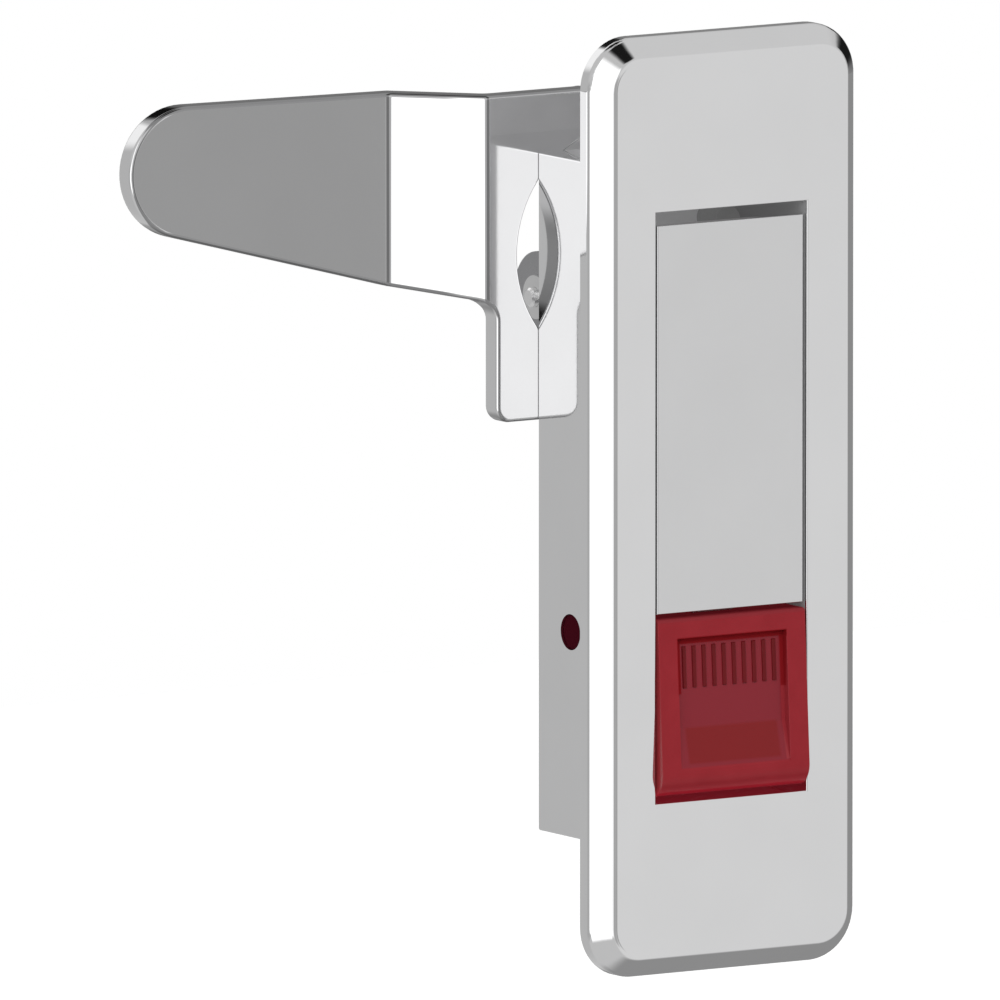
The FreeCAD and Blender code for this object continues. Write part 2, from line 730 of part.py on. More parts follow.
def make_striker_screw():
    body = new_body("striker_screw")
    head_front = f"({FLAP_REAR} + striker_sheet)"
    cylinder_between(body, "shank", "front", "0", STRIKER_SCREW_HEIGHT,
                     "striker_screw_diameter / 2", f"{FLAP_REAR} - striker_screw_grip",
                     head_front)
    cylinder_between(body, "head", "front", "0", STRIKER_SCREW_HEIGHT, "striker_screw_head / 2",
                     head_front, f"{head_front} + striker_screw_head_height")
    slot = box_outline("-striker_screw_head / 2", "striker_screw_head / 2",
                       f"{STRIKER_SCREW_HEIGHT} - striker_slot_width / 2",
                       f"{STRIKER_SCREW_HEIGHT} + striker_slot_width / 2")
    pocket(body, "slot", "front", [slot],
           f"{head_front} + striker_screw_head_height / 2",
           f"{head_front} + striker_screw_head_height")


# Push button and what rides on it


def make_push_button():
    body = new_body("push_button")
    sole_rear = f"({BUTTON_FRONT} + button_sole_depth)"
    lobe_rear = "(trunnion_setback + cheek_margin)"
    side = [
        (f"{BUTTON_FRONT} - button_bulge", BUTTON_BOTTOM, "button_chin_round"),
        (sole_rear, f"{BUTTON_BOTTOM} - button_sole_slope"),
        (lobe_rear, f"{TRUNNION_HEIGHT} - cheek_margin - cheek_taper"),
        (lobe_rear, BUTTON_TOP),
        (BUTTON_FRONT, BUTTON_TOP, "button_edge_round"),
    ]
    pad(body, "shell", "side", [side], f"-{BUTTON_HALF}", BUTTON_HALF)
    hollow = [
        (BUTTON_INNER, f"{BUTTON_BOTTOM} + button_sole"),
        ("box_depth", f"{BUTTON_BOTTOM} + button_sole"),
        ("box_depth", f"{BUTTON_TOP} - button_top_wall"),
        (BUTTON_INNER, f"{BUTTON_TOP} - button_top_wall"),
    ]
    pocket(body, "hollow", "side", [hollow], f"-({BUTTON_HALF} - button_cheek)",
           f"{BUTTON_HALF} - button_cheek")
    dish_top = f"({BUTTON_TOP} - dish_top_drop)"
    dish_bottom = f"({dish_top} - dish_height)"
    outside = f"({BUTTON_FRONT} - button_bulge - cut_margin)"
    dish = [
        (outside, f"{dish_bottom} - dish_run_out"),
        (f"{BUTTON_FRONT} - button_bulge * (dish_top_drop + dish_height) / button_height",
         dish_bottom),
        (f"{BUTTON_FRONT} + dish_knee_depth", f"{dish_top} - dish_knee"),
        (f"{BUTTON_FRONT} + dish_depth", dish_top),
        (outside, dish_top),
    ]
    pocket(body, "dish", "side", [dish], "-dish_width / 2", "dish_width / 2")
    boss = box_outline("-catch_width / 2 - catch_boss_margin", "catch_width / 2 + catch_boss_margin",
                       f"{CATCH_BOSS_TOP} - catch_boss_height", CATCH_BOSS_TOP)
    pad(body, "catch_boss", "front", [boss], f"{BUTTON_INNER} - joint_bite", CATCH_FRONT)
    cylinder_between(body, "spring_boss", "front", "0", SPRING_HEIGHT, "spigot_diameter / 2",
                     f"{BUTTON_INNER} - joint_bite",
                     f"{BUTTON_INNER} + button_spring_boss_height")
    window = box_outline(
        "-catch_width / 2 - catch_window_margin", "catch_width / 2 + catch_window_margin",
        f"{CATCH_FRONT} - catch_window_margin", f"{CATCH_REAR} + catch_window_margin")
    pocket(body, "catch_window", "top", [window],
           f"{BUTTON_TOP} - button_top_wall - end_play", BUTTON_TOP)
    rivet = ("0", f"{CATCH_BOSS_TOP} - catch_boss_height / 2",
             "catch_rivet_diameter / 2 + seat_clearance")
    pocket(body, "rivet_hole", "front", [rivet],
           f"{CATCH_FRONT} - catch_rivet_grip - end_play", CATCH_FRONT)
    trunnion = ("trunnion_setback", TRUNNION_HEIGHT, "trunnion_diameter / 2")
    reach = "(box_width / 2 - trunnion_inset)"
    inner = f"({BUTTON_HALF} - button_cheek / 2)"
    pad(body, "right_trunnion", "side", [trunnion], inner, reach)
    pad(body, "left_trunnion", "side", [trunnion], f"-{reach}", f"-{inner}")


def make_catch_spring():
    """A leaf riveted to the button's boss; its upper end stands in front of the striker's lip."""
    body = new_body("catch_spring")
    leaf = box_outline("-catch_width / 2", "catch_width / 2",
                       f"{CATCH_BOSS_TOP} - catch_boss_height", CATCH_TOP)
    pad(body, "leaf", "front", [leaf], CATCH_FRONT, CATCH_REAR)
    pocket(body, "rivet_hole", "front",
           [("0", f"{CATCH_BOSS_TOP} - catch_boss_height / 2",
             "catch_rivet_diameter / 2 + seat_clearance")], CATCH_FRONT, CATCH_REAR)


def make_catch_rivet():
    body = new_body("catch_spring_rivet")
    height = f"({CATCH_BOSS_TOP} - catch_boss_height / 2)"
    cylinder_between(body, "shank", "front", "0", height, "catch_rivet_diameter / 2",
                     f"{CATCH_FRONT} - catch_rivet_grip", CATCH_REAR)
    cylinder_between(body, "head", "front", "0", height, "catch_rivet_head / 2",
                     CATCH_REAR, f"{CATCH_REAR} + catch_rivet_head_height")
    rear = value(f"{CATCH_REAR} + catch_rivet_head_height")
    fillet(body, "dome", "catch_rivet_head_height / 2", lambda e: level_edge(e, 1, rear))


# Rotor, tongue and yoke


def make_rotor():
    body = new_body("rotor")
    cylinder_between(body, "disc", "front", "0", "hinge_height", "rotor_disc_diameter / 2",
                     DISC_FRONT, DISC_REAR)
    half = "tongue_swing / 2"
    wide = "(drive_ball_diameter / 2 + rotor_slot_play)"
    near_end = f"({BALL_OFFSET} - drive_ball_diameter / 2 - rotor_slot_end_gap)"
    far_end = "(rotor_disc_diameter / 2 + cut_margin)"
    corners = []
    for reach, side in ((near_end, -1), (near_end, 1), (far_end, 1), (far_end, -1)):
        corners.append((
            f"-{reach} * cos({half}) + {side} * {wide} * sin({half})",
            f"hinge_height + {reach} * sin({half}) + {side} * {wide} * cos({half})"))
    pocket(body, "drive_slot", "front", [corners], DISC_FRONT, DISC_REAR)
    cylinder_between(body, "hub", "front", "0", "hinge_height", "rotor_hub_diameter / 2",
                     f"{DISC_REAR} - joint_bite", f"{INNER_REAR} - end_play")
    cylinder_between(body, "shaft", "front", "0", "hinge_height", "shaft_diameter / 2",
                     f"{DISC_REAR} - joint_bite", "cross_pin_setback + shaft_tail")
    end = value("cross_pin_setback + shaft_tail")
    chamfer(body, "shaft_end", "shaft_chamfer", lambda e: level_edge(e, 1, end))
    pocket(body, "cross_bore", "side",
           [("cross_pin_setback", "hinge_height", "cross_pin_diameter / 2 + seat_clearance")],
           "-shaft_diameter", "shaft_diameter")


def make_ring(name, outer, inner, low, high):
    body = new_body(name)
    pad(body, "ring", "front",
        [("0", "hinge_height", outer), ("0", "hinge_height", inner)], low, high)
    return body


RIVET_PLACES = [
    (f"{side} * rivet_spread / 2", level)
    for side in ("-1", "1")
    for level in (f"({PLATE_TOP} - rivet_edge)", f"({PLATE_BOTTOM} + rivet_edge)")
]

# Plan of the bent sheet, seen from above. The front face runs to the first bend, steps back
# through the step and goes on as the arm, past the nose's tip. Each rear corner is the front one
# moved by the mitre.
BEND_1 = ("(-plate_width / 2 - first_bend_overhang)", PLATE_FRONT)
BEND_2 = (f"({BEND_1[0]} - step_length * cos(step_angle))",
          f"({BEND_1[1]} + step_length * sin(step_angle))")
NOSE_TIP = f"({BEND_2[0]} - arm_length * cos(arm_angle))"
ARM_END = (f"({BEND_2[0]} - (arm_length + nose_overrun) * cos(arm_angle))",
           f"({BEND_2[1]} + (arm_length + nose_overrun) * sin(arm_angle))")
REAR_1 = (f"({BEND_1[0]} + sheet_thickness * tan(step_angle / 2))",
          f"({BEND_1[1]} + sheet_thickness)")
MITRE_2 = "sheet_thickness / (1 + cos(step_angle - arm_angle))"
REAR_2 = (f"({BEND_2[0]} + {MITRE_2} * (sin(step_angle) + sin(arm_angle)))",
          f"({BEND_2[1]} + {MITRE_2} * (cos(step_angle) + cos(arm_angle)))")
REAR_END = (f"({ARM_END[0]} + sheet_thickness * sin(arm_angle))",
            f"({ARM_END[1]} + sheet_thickness * cos(arm_angle))")


def make_tongue():
    """The sheet's plan, as thick as its height, cut to its outline seen from the front."""
    body = new_body("tongue")
    right = "plate_width / 2"
    plan = [
        (right, PLATE_FRONT),
        (right, PLATE_REAR),
        (REAR_1[0], REAR_1[1], "bend_inner_round"),
        (REAR_2[0], REAR_2[1], "bend_outer_round"),
        REAR_END,
        ARM_END,
        (BEND_2[0], BEND_2[1], "bend_inner_round"),
        (BEND_1[0], BEND_1[1], "bend_outer_round"),
    ]
    pad(body, "sheet", "top", [plan], PLATE_BOTTOM, PLATE_TOP)
    left = "(-plate_width / 2)"
    nose_centre = f"({NOSE_TIP} + nose_radius)"
    meeting = f"({nose_centre} - nose_radius / tan(arm_taper / 2))"
    bend_low = f"({PLATE_TOP} - ({BEND_2[0]} - {meeting}) * tan(arm_taper))"
    root_low = f"({bend_low} - step_taper_drop)"
    outer = f"({ARM_END[0]} - outline_margin)"
    below = f"({PLATE_BOTTOM} - outline_margin)"
    above = f"({PLATE_TOP} + outline_margin)"
    cut = [
        (outer, below),
        (left, below),
        (left, root_low, "root_fillet"),
        (BEND_2[0], bend_low),
        (meeting, PLATE_TOP, "nose_radius"),
        (right, PLATE_TOP),
        (right, above),
        (outer, above),
    ]
    pocket(body, "outline", "front", [cut], f"{PLATE_FRONT} - cut_margin",
           f"{REAR_END[1]} + sheet_thickness")
    half_height = "(plate_hole_height / 2)"
    flat = f"(plate_hole_width / 2 - {half_height})"
    middle = "(hinge_height + plate_hole_rise)"
    opening = [box_outline(f"-{flat}", flat, f"{middle} - {half_height}",
                           f"{middle} + {half_height}")]
    pocket(body, "hole_middle", "front", opening, PLATE_FRONT, PLATE_REAR)
    for side, word in (("-1", "left"), ("1", "right")):
        pocket(body, f"hole_{word}", "front", [(f"{side} * {flat}", middle, half_height)],
               PLATE_FRONT, PLATE_REAR)
    rivets = [(across, up, "rivet_diameter / 2 + seat_clearance")
              for across, up in RIVET_PLACES]
    pocket(body, "rivet_holes", "front", rivets, PLATE_FRONT, PLATE_REAR)
    half = value("plate_width / 2")
    levels = (value(PLATE_BOTTOM), value(PLATE_TOP))

    def plate_corner(edge):
        centre = edge.CenterOfMass
        at_corner = near(abs(centre.x), half) and any(near(centre.z, level) for level in levels)
        return edge_along(edge, 1) and at_corner

    fillet(body, "plate_corners", "plate_corner_radius", plate_corner)
    hole_radius = value(half_height)
    hole_low = value(f"{middle} - {half_height}")
    hole_high = value(f"{middle} + {half_height}")

    def hole_rim(edge):
        round_rim = isinstance(edge.Curve, Part.Circle) and near(edge.Curve.Radius, hole_radius)
        centre = edge.CenterOfMass
        flat_rim = near(centre.x, 0) and (near(centre.z, hole_low) or near(centre.z, hole_high))
        return round_rim or (flat_rim and edge_along(edge, 0))

    fillet(body, "hole_rims", "sheet_edge_round", hole_rim)


def make_yoke():
    """A strap behind the plate's hole, with two ears bent back for the cross pin."""
    body = new_body("tongue_yoke")
    strap = box_outline(f"-{STRAP_HALF}", STRAP_HALF, f"{PLATE_BOTTOM} + yoke_margin",
                        f"{PLATE_TOP} - yoke_margin", "plate_corner_radius")
    pad(body, "strap", "front", [strap], PLATE_REAR, YOKE_REAR)
    wings = box_outline("-yoke_width / 2", "yoke_width / 2", "hinge_height - yoke_ear_radius",
                        "hinge_height + yoke_ear_radius")
    pad(body, "wings", "front", [wings], PLATE_REAR, YOKE_REAR)
    ear = box_outline(PLATE_REAR, "cross_pin_setback", "hinge_height - yoke_ear_radius",
                      "hinge_height + yoke_ear_radius")
    tip = ("cross_pin_setback", "hinge_height", "yoke_ear_radius")
    for word, low, high in (("left", "-yoke_width / 2", f"-{STRAP_HALF}"),
                            ("right", STRAP_HALF, "yoke_width / 2")):
        pad(body, f"{word}_ear", "side", [ear], low, high)
        pad(body, f"{word}_ear_tip", "side", [tip], low, high)
    outer = value("yoke_width / 2")
    front = value(PLATE_REAR)
    fillet(body, "ear_bends", "yoke_bend_round",
           lambda e: edge_along(e, 2) and near(abs(e.CenterOfMass.x), outer)
           and near(e.CenterOfMass.y, front))
    pocket(body, "shaft_hole", "front",
           [("0", "hinge_height", "shaft_diameter / 2 + running_clearance")],
           PLATE_REAR, YOKE_REAR)
    pocket(body, "pin_bore", "side",
           [("cross_pin_setback", "hinge_height", "cross_pin_diameter / 2 + seat_clearance")],
           "-yoke_width / 2", "yoke_width / 2")
    rivets = [(across, up, "rivet_diameter / 2 + seat_clearance")
              for across, up in RIVET_PLACES]
    pocket(body, "rivet_holes", "front", rivets, PLATE_REAR, YOKE_REAR)


def make_cross_pin_clips():
    """A push-on ring on each end of the cross pin, against the ear."""
    rings = []
    for side, word in ((-1, "left"), (1, "right")):
        outer = doc.addObject("Part::Cylinder", f"{word}_clip_disc")
        inner = doc.addObject("Part::Cylinder", f"{word}_clip_hole")
        bind(outer, "Radius", "clip_diameter / 2")
        bind(inner, "Radius", "cross_pin_diameter / 2 + seat_clearance")
        for item in (outer, inner):
            bind(item, "Height", "clip_thickness")
            item.Placement.Rotation = FreeCAD.Rotation(FreeCAD.Vector(0, 1, 0), side * 90)
            bind(item, "Placement.Base.x", f"{side} * (yoke_width / 2 + seat_clearance)")
            bind(item, "Placement.Base.y", "cross_pin_setback")
            bind(item, "Placement.Base.z", "hinge_height")
        ring = doc.addObject("Part::Cut", f"{word}_clip")
        ring.Base = outer
        ring.Tool = inner
        rings.append(ring)
    pair = doc.addObject("Part::Compound", "cross_pin_clips")
    pair.Links = rings
    pair.Label = "cross_pin_clips"
    SUBPARTS.append(pair)


def make_yoke_rivets():
    """Four rivets, flush in the plate's front face and domed behind the yoke."""
    rivets = []
    for number, (across, up) in enumerate(RIVET_PLACES, start=1):
        shank = doc.addObject("Part::Cylinder", f"rivet_shank_{number}")
        head = doc.addObject("Part::Cylinder", f"rivet_head_{number}")
        bind(shank, "Radius", "rivet_diameter / 2")
        bind(shank, "Height", f"{YOKE_REAR} - {PLATE_FRONT} + rivet_head_height / 2")
        bind(shank, "Placement.Base.y", PLATE_FRONT)
        bind(head, "Radius", "rivet_head_diameter / 2")
        bind(head, "Height", "rivet_head_height")
        bind(head, "Placement.Base.y", YOKE_REAR)
        for item in (shank, head):
            item.Placement.Rotation = FreeCAD.Rotation(FreeCAD.Vector(1, 0, 0), -90)
            bind(item, "Placement.Base.x", across)
            bind(item, "Placement.Base.z", up)
        doc.recompute()
        rim = max(enumerate(head.Shape.Edges, start=1), key=lambda n: n[1].CenterOfMass.y)[0]
        dome = doc.addObject("Part::Fillet", f"rivet_dome_{number}")
        dome.Base = head
        size = value("rivet_dome_round")
        dome.Edges = [(rim, size, size)]
        rivet = doc.addObject("Part::Fuse", f"rivet_{number}")
        rivet.Base = shank
        rivet.Tool = dome
        rivets.append(rivet)
    group = doc.addObject("Part::Compound", "yoke_rivets")
    group.Links = rivets
    group.Label = "yoke_rivets"
    SUBPARTS.append(group)


# Springs: a wire is one tube along lines and arcs. Angles round a coil count in turns.
TURN_STEP = 1e-5
QUARTER_TURN = 0.25


def arc_from(start, heading, end):
    """The arc that leaves start along heading and reaches end."""
    chord = end - start
    angle = chord.getAngle(heading)
    side = heading - chord * (heading.dot(chord) / chord.dot(chord))
    bulge = chord.Length / 2 * math.tan(angle / 2)
    middle = (start + end) * 0.5 + side.normalize() * bulge
    return Part.Arc(start, middle, end).toShape()


def two_arcs(start, heading, end, arrival):
    """Two tangent arcs from start, along heading, to end, arriving along arrival."""
    span = end - start
    both = heading + arrival
    spread = 2 * (1 - heading.dot(arrival))
    along = span.dot(both)
    reach = (-along + math.sqrt(along ** 2 + spread * span.dot(span))) / spread
    joint = (start + heading * reach + end - arrival * reach) * 0.5
    turned = (joint - (start + heading * reach)).normalize()
    return [arc_from(start, heading, joint), arc_from(joint, turned, end)]


def heading_at(point, angle):
    """The wire's direction at an angle, where point(angle) gives its place."""
    return (point(angle + TURN_STEP) - point(angle - TURN_STEP)).normalize()


def helix_arcs(point, turns):
    """Arcs along a helix from angle 0, a quarter turn at a time."""
    edges = []
    for number in range(round(turns / QUARTER_TURN)):
        a = number * QUARTER_TURN
        b = a + QUARTER_TURN
        edges += two_arcs(point(a), heading_at(point, a), point(b), heading_at(point, b))
    return edges


def wire_tube(name, edges, start, heading, radius):
    """A round wire along the edges, as a sub-part of its own."""
    path = Part.Wire(edges)
    profile = Part.Wire([Part.makeCircle(radius, start, heading)])
    tube = doc.addObject("Part::Feature", name)
    tube.Shape = path.makePipeShell([profile], True, False)
    tube.Placement = FreeCAD.Placement()
    tube.Label = name
    SUBPARTS.append(tube)


def make_button_return_spring():
    """A compression spring between the button's boss and the rear wall's spigot."""
    wire = value("button_spring_wire")
    radius = value("button_spring_radius")
    turns = value("button_spring_turns")
    low = value(f"{BUTTON_INNER} + end_play") + wire / 2
    high = value(f"{INNER_REAR} - end_play") - wire / 2
    height = value(SPRING_HEIGHT)
    pitch = (high - low) / turns

    def point(angle):
        turn = 2 * math.pi * angle
        return FreeCAD.Vector(radius * math.cos(turn), low + pitch * angle,
                              height + radius * math.sin(turn))

    edges = helix_arcs(point, turns)
    wire_tube("button_return_spring", edges, point(0), heading_at(point, 0), wire / 2)
    print("button spring: gap between turns", round(pitch - wire, 2))


def make_flap_torsion_spring():
    """A torsion spring round the hinge pin. One leg lies along the flap's back, the other runs
    back and hooks into the side wall."""
    wire = value("flap_spring_wire")
    radius = value("flap_spring_radius")
    turns = value("flap_spring_turns")
    pitch = value("flap_spring_pitch")
    start_across = value("flap_spring_start")
    setback = value("hinge_setback")
    height = value("hinge_height")
    bend = value("flap_spring_bend")

    def point(angle):
        turn = 2 * math.pi * angle
        return FreeCAD.Vector(start_across + pitch * angle, setback - radius * math.cos(turn),
                              height + radius * math.sin(turn))

    total = turns + QUARTER_TURN
    first = point(0)
    last = point(total)
    arrival = heading_at(point, 0)
    departure = heading_at(point, total)
    leg_start = first - arrival * value("flap_spring_leg")
    bend_start = last + departure * value("flap_spring_hook")
    hook_end_across = value("opening_width / 2 + flap_spring_hook_seat")
    out = FreeCAD.Vector(1, 0, 0)
    bend_end = bend_start + FreeCAD.Vector(bend, bend, 0)
    hook_end = FreeCAD.Vector(hook_end_across, bend_end.y, bend_end.z)
    edges = [Part.makeLine(leg_start, first)]
    edges += helix_arcs(point, total)
    edges.append(Part.makeLine(last, bend_start))
    edges += two_arcs(bend_start, departure, bend_end, out)
    edges.append(Part.makeLine(bend_end, hook_end))
    wire_tube("flap_torsion_spring", edges, leg_start, arrival, wire / 2)
    print("flap spring: gap between turns", round(pitch - wire, 2))


def main():
    make_face_housing()
    make_fixing_studs()
    make_pin("flap_hinge_pin", "(box_width / 2 - hinge_pin_inset)", "hinge_setback",
             "hinge_height", "hinge_pin_diameter")
    make_rotor_bush()
    make_flap_stop_buffers()
    make_flap_handle()
    make_drive_ball_pin()
    make_striker()
    make_striker_screw()
    make_push_button()
    make_catch_spring()
    make_catch_rivet()
    make_rotor()
    washer_front = "(box_depth + end_play)"
    washer_rear = f"({washer_front} + friction_washer_thickness)"
    shaft_bore = "shaft_diameter / 2 + running_clearance"
    make_ring("friction_washer", "friction_washer_diameter / 2", shaft_bore, washer_front,
              washer_rear)
    make_ring("shaft_spacer", "spacer_diameter / 2", shaft_bore, washer_rear, PLATE_REAR)
    make_tongue()
    make_yoke()
    make_pin("yoke_cross_pin", "(yoke_width / 2 + cross_pin_overhang)", "cross_pin_setback",
             "hinge_height", "cross_pin_diameter")
    make_cross_pin_clips()
    make_yoke_rivets()
    make_button_return_spring()
    make_flap_torsion_spring()


def check_and_write():
    """Stops on any failed feature or bad shape, then writes one file for each sub-part."""
    doc.recompute()
    for thing in doc.Objects:
        if "Invalid" in thing.State or "Error" in thing.State:
            raise RuntimeError(f"{thing.Name} failed: {thing.State}")
    for part in SUBPARTS:
        shape = part.Shape
        if shape.isNull() or not shape.isValid() or not shape.Solids:
            raise RuntimeError(f"{part.Label} has no valid shape")
    for part in SUBPARTS:
        part.Shape.exportStep(f"parts/{part.Label}.step")
        print(part.Label, len(part.Shape.Solids), round(part.Shape.Volume, 1))


main()
check_and_write()
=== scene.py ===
import math

import bmesh
import bpy
from mathutils import Matrix, Vector


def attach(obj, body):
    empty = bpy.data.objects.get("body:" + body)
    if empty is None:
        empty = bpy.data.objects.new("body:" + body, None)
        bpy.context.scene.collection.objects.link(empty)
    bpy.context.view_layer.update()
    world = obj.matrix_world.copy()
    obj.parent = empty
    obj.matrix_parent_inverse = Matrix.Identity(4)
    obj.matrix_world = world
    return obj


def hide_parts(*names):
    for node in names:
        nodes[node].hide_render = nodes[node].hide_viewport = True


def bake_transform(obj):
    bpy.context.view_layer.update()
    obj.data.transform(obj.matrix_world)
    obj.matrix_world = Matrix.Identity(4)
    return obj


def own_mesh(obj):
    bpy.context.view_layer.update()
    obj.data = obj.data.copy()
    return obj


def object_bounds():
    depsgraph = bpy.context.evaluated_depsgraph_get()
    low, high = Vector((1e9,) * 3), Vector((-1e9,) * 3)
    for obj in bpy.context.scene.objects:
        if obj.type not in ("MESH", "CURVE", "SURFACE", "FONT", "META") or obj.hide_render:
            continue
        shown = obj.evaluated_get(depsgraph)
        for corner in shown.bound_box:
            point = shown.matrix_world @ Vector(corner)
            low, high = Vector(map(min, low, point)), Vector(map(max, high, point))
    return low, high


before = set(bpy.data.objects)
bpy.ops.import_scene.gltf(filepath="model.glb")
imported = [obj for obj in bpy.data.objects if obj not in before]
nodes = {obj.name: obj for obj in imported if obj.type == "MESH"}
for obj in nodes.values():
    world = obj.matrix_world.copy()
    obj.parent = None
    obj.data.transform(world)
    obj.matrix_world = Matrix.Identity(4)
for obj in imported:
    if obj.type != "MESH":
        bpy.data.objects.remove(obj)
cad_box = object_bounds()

# The chromed panel lock in a soft studio. Metres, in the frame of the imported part: +X right seen
# from the front, +Y into the cabinet, +Z up. Sizes and places on the part are named in
# millimetres and take MM where they are used.

MM = 0.001

# The camera: degrees to the left of the face's normal and above it, and the picture's width and
# centre. The lens is so long that there is almost no perspective.
VIEW_SIDE = 32.5
VIEW_ABOVE = 7.9
VIEW_WIDTH = 126.2 * MM
VIEW_TARGET = Vector((-34.68, -4.198, 2.875)) * MM
LENS = 1600.0
SENSOR = 36.0

# The housing's cavity, in millimetres
CAVITY_HALF = 11.42
CAVITY_LOW, CAVITY_HIGH = -30.0, 37.8
CAVITY_FRONT, CAVITY_REAR = -3.9, 14.7

# Where finishes, painted shade and painted glow change, as (from, to): the flap's back by Y, the
# tongue's nose and plate by X, and the yoke's upper end by Z
FLAP_BACK = (-1.6, -1.4)
NOSE = (-62.0, -66.0)
PLATE = (-27.0, -25.0)
STRAP_END = (40.0, 42.0)

# Where the button's painted light and painted shade change: its cheeks and its pivots' ends by
# |X|, its top and chin by Z, and the rear part of the dish's right wall by Y
CHEEKS = (10.98, 11.04)
PIVOTS = (11.6, 12.4)
BUTTON_TOP = (-14.9, -14.5)
CHIN = (-35.4, -36.6)
REAR_OF_WALL = (-4.6, -4.2)

# The tongue's hole, and the round on its cut edges
HOLE_HALF = 18.8
HOLE_LOW, HOLE_HIGH = 14.6, 46.2
CUT_EDGE_ROUND = 0.55

# The button's dish: half width, bottom and top, and its floor's place at the top and its slope
DISH_HALF = 8.2
DISH_LOW, DISH_HIGH = -33.2, -16.85
DISH_FLOOR_AT_TOP = -3.45
DISH_FLOOR_SLOPE = 0.0655

# The dish's grip ribs
RIB_COUNT = 10
RIB_PITCH = 1.5
RIB_HALF = 0.27
RIB_LOW, RIB_HIGH = -23.3, -18.0
RIB_PROUD = 0.22
RIB_SUNK = 0.2
RIB_ROUND = 0.12

# The fixing studs and their feet
STUD_HEIGHTS = (-52.0, 52.0)
STUD_RADIUS = 2.0
STUD_LENGTH = 12.0
STUD_CHAMFER = 0.6
THREAD_PITCH = 0.7
THREAD_DEPTH = 0.36
THREAD_SPOKES = 40
THREAD_ROWS_PER_TURN = 10
FOOT_RADIUS = 2.5
FOOT_LENGTH = 1.5

# The floor and the lamp, in metres and watts
FLOOR_DROP = 0.06
FLOOR_HALF = 0.6
LAMP_PLACE = (-0.35, -0.7, 0.55)
LAMP_SIZE = 0.5
LAMP_POWER = 3.2


# Node helpers


def new_tree(name):
    """A new material with an empty node tree, its tree, and its surface output."""
    material = bpy.data.materials.new(name)
    material.use_nodes = True
    tree = material.node_tree
    tree.nodes.clear()
    output = tree.nodes.new("ShaderNodeOutputMaterial")
    return material, tree, output


def add(tree, kind, **values):
    """Adds a node. Keys name its properties, or its inputs when they start with in_."""
    node = tree.nodes.new(kind)
    for key, setting in values.items():
        if key.startswith("in_"):
            node.inputs[key[3:].replace("_", " ")].default_value = setting
        else:
            setattr(node, key, setting)
    return node


def link(tree, source, output, target, socket):
    """Links a node's output to another node's input, each by name or number."""
    tree.links.new(source.outputs[output], target.inputs[socket])


def noise(tree, scale, detail=3.0, roughness=0.5):
    """Noise in object space at a scale in features per metre."""
    where = add(tree, "ShaderNodeTexCoord")
    texture = add(tree, "ShaderNodeTexNoise", in_Scale=scale, in_Detail=detail,
                  in_Roughness=roughness)
    link(tree, where, "Object", texture, "Vector")
    return texture


def spread(tree, texture, low=0.0, high=1.0):
    """A noise's middle range, spread from low to high."""
    node = add(tree, "ShaderNodeMapRange", in_From_Min=0.3, in_From_Max=0.7, in_To_Min=low,
               in_To_Max=high)
    link(tree, texture, "Fac", node, "Value")
    return node.outputs[0]


def mix_colour(tree, factor, first, second):
    """Mixes two colours by a socket; each colour is a tuple or a socket."""
    node = add(tree, "ShaderNodeMix", data_type="RGBA")
    tree.links.new(factor, node.inputs[0])
    colours = [socket for socket in node.inputs if socket.type == "RGBA"]
    for socket, item in zip(colours, (first, second)):
        if isinstance(item, tuple):
            socket.default_value = (*item, 1)
        else:
            tree.links.new(item, socket)
    return next(socket for socket in node.outputs if socket.type == "RGBA")


def axes(tree, kind="Object"):
    """The place or the normal in object space, as three sockets."""
    where = add(tree, "ShaderNodeTexCoord")
    split = add(tree, "ShaderNodeSeparateXYZ")
    link(tree, where, kind, split, "Vector")
    return tuple(split.outputs)


def calc(tree, operation, *items):
    """A Math node; each item is a number or a socket. Returns its output."""
    node = add(tree, "ShaderNodeMath", operation=operation)
    for socket, item in zip(node.inputs, items):
        if isinstance(item, (int, float)):
            socket.default_value = item
        else:
            tree.links.new(item, socket)
    return node.outputs[0]


# Short names for the sums used most; each item is a number or a socket


def absolute(tree, item):
    return calc(tree, "ABSOLUTE", item)


def times(tree, first, second):
    return calc(tree, "MULTIPLY", first, second)


def either(tree, first, second):
    return calc(tree, "MAXIMUM", first, second)


def opposite(tree, item):
    return calc(tree, "SUBTRACT", 1, item)


def ramp(tree, source, start, end):
    """0 where the source is at start, 1 at end, smooth between; start may be the larger."""
    falls = start > end
    node = add(tree, "ShaderNodeMapRange", interpolation_type="SMOOTHSTEP",
               in_From_Min=min(start, end), in_From_Max=max(start, end),
               in_To_Min=float(falls), in_To_Max=float(not falls))
    tree.links.new(source, node.inputs["Value"])
    return node.outputs[0]


def past(tree, source, span):
    """0 before a span in millimetres, 1 after it."""
    return ramp(tree, source, span[0] * MM, span[1] * MM)


def under(tree, source, high, soft):
    """1 up to a level in millimetres, with a soft end above it."""
    return ramp(tree, source, (high + soft) * MM, high * MM)


def between(tree, source, low, high, soft):
    """1 between two levels in millimetres, with soft ends outside them."""
    rise = ramp(tree, source, (low - soft) * MM, low * MM)
    return times(tree, rise, under(tree, source, high, soft))


def principled(tree, base, metallic, roughness):
    """A Principled shader; base is a socket, roughness a number or a socket."""
    shader = add(tree, "ShaderNodeBsdfPrincipled", in_Metallic=metallic)
    tree.links.new(base, shader.inputs["Base Color"])
    if isinstance(roughness, float):
        shader.inputs["Roughness"].default_value = roughness
    else:
        tree.links.new(roughness, shader.inputs["Roughness"])
    return shader


def raise_grain(tree, shader, texture, strength, height):
    """Lifts the surface by a noise."""
    lift = add(tree, "ShaderNodeBump", in_Strength=strength, in_Distance=height)
    link(tree, texture, "Fac", lift, "Height")
    link(tree, lift, "Normal", shader, "Normal")


